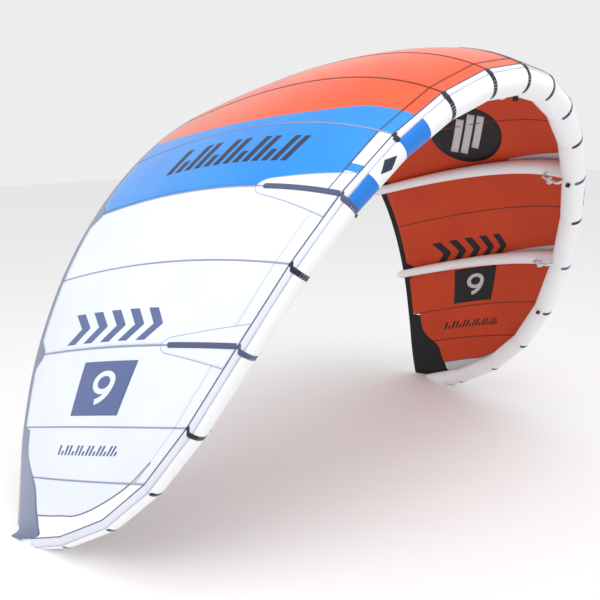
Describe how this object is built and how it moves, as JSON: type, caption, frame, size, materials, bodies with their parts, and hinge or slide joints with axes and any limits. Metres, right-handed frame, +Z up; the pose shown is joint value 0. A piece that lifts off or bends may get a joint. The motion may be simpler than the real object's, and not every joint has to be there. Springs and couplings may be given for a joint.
{
  "type": "kitesurf kite",
  "caption": "Inflatable kitesurf kite with a swept panelled leading edge, inflatable struts, a cambered sewn canopy and hinged hose clips.",
  "frame": {"origin": "middle of the leash eye under the middle of the leading edge", "axes": "+X along the span to the right wing, +Y from the leading edge to the trailing edge, +Z up out of the arch, in the flying attitude"},
  "size_m": [3.678, 2, 2.5424],
  "materials": {
    "band_navy": "matte",
    "bladder": "satin",
    "canopy_blue": "satin",
    "canopy_orange": "satin",
    "canopy_white": "satin",
    "clip_body": "satin",
    "clip_lever": "satin",
    "dacron_slate": "matte",
    "dacron_white": "matte",
    "hose": "satin",
    "valve": "satin",
    "valve_cap": "satin",
    "valve_disc": "satin",
    "webbing": "matte"
  },
  "bodies": {
    "root": {"canopy_left_1": "canopy_orange", "canopy_left_2": "canopy_blue", "canopy_left_3": "canopy_white", "canopy_left_4": "canopy_white", "canopy_left_5": "canopy_white", "canopy_right_1": "canopy_orange", "canopy_right_2": "canopy_orange", "canopy_right_3": "canopy_orange", "canopy_right_4": "canopy_orange", "canopy_right_5": "canopy_orange", "closure_strip_left": "dacron_white", "closure_strip_right": "dacron_white", "front_line_loops": "webbing", "hose_centre": "hose", "hose_clip_bodies": "clip_body", "hose_left_inner": "hose", "hose_left_outer": "hose", "hose_right_inner": "hose", "hose_right_outer": "hose", "joint_band_centre": "band_navy", "joint_bands_left": "band_navy", "joint_bands_right": "band_navy", "leading_edge_bladder": "bladder", "leading_edge_casing_left_inner": "dacron_white", "leading_edge_casing_left_middle": "dacron_white", "leading_edge_casing_left_tip": "dacron_white", "leading_edge_casing_right_inner": "dacron_white", "leading_edge_casing_right_middle": "dacron_white", "leading_edge_casing_right_tip": "dacron_white", "leash_loop": "webbing", "load_strips": "dacron_slate", "rear_line_loops": "webbing", "strut_bladder_centre": "bladder", "strut_bladder_left_inner": "bladder", "strut_bladder_left_outer": "bladder", "strut_bladder_right_inner": "bladder", "strut_bladder_right_outer": "bladder", "strut_casing_centre": "dacron_white", "strut_casing_left_inner": "dacron_white", "strut_casing_left_outer": "dacron_white", "strut_casing_right_inner": "dacron_white", "strut_casing_right_outer": "dacron_white", "tip_panel_left": "dacron_white", "tip_panel_right": "dacron_white", "tip_patch_left": "dacron_slate", "tip_patch_right": "dacron_slate", "trailing_edge_band_left": "dacron_slate", "trailing_edge_band_right": "dacron_slate", "valve_base": "valve"},
    "hose_clip_lever_centre": {"hose_clip_lever_centre": "clip_lever"},
    "hose_clip_lever_right_inner": {"hose_clip_lever_right_inner": "clip_lever"},
    "hose_clip_lever_right_outer": {"hose_clip_lever_right_outer": "clip_lever"},
    "hose_clip_lever_left_inner": {"hose_clip_lever_left_inner": "clip_lever"},
    "hose_clip_lever_left_outer": {"hose_clip_lever_left_outer": "clip_lever"},
    "valve_cap": {"valve_cap": "valve_cap"},
    "valve_check_disc": {"valve_check_disc": "valve_disc"}
  },
  "joints": [
    {"name": "clip_lever_centre", "type": "hinge", "parent": "root", "child": "hose_clip_lever_centre", "pos_m": [0.016, 0.14272, 0.0338], "axis": [0, -0.8269, -0.5624], "range_deg": [0, 100]},
    {"name": "clip_lever_right_inner", "type": "hinge", "parent": "root", "child": "hose_clip_lever_right_inner", "pos_m": [0.90471, 0.31138, -0.44686], "axis": [-0.4986, -0.8475, -0.182], "range_deg": [0, 100]},
    {"name": "clip_lever_right_outer", "type": "hinge", "parent": "root", "child": "hose_clip_lever_right_outer", "pos_m": [1.24138, 0.53205, -1.00873], "axis": [-0.5035, -0.8627, 0.0467], "range_deg": [0, 100]},
    {"name": "clip_lever_left_inner", "type": "hinge", "parent": "root", "child": "hose_clip_lever_left_inner", "pos_m": [-0.88892, 0.31474, -0.41923], "axis": [0.4986, -0.8475, -0.182], "range_deg": [0, 100]},
    {"name": "clip_lever_left_outer", "type": "hinge", "parent": "root", "child": "hose_clip_lever_left_outer", "pos_m": [-1.23641, 0.53664, -0.97745], "axis": [0.5035, -0.8627, 0.0467], "range_deg": [0, 100]},
    {"name": "valve_cap_hinge", "type": "hinge", "parent": "root", "child": "valve_cap", "pos_m": [0.112, 0.07976, 0.03526], "axis": [0.9908, 0.0558, -0.123], "range_deg": [0, 150]},
    {"name": "valve_check_slide", "type": "slide", "parent": "root", "child": "valve_check_disc", "axis": [0.1216, -0.7649, 0.6325], "range_m": [0, 0.003], "stiffness_N_per_m": 60, "springref_m": -0.0005}
  ]
}
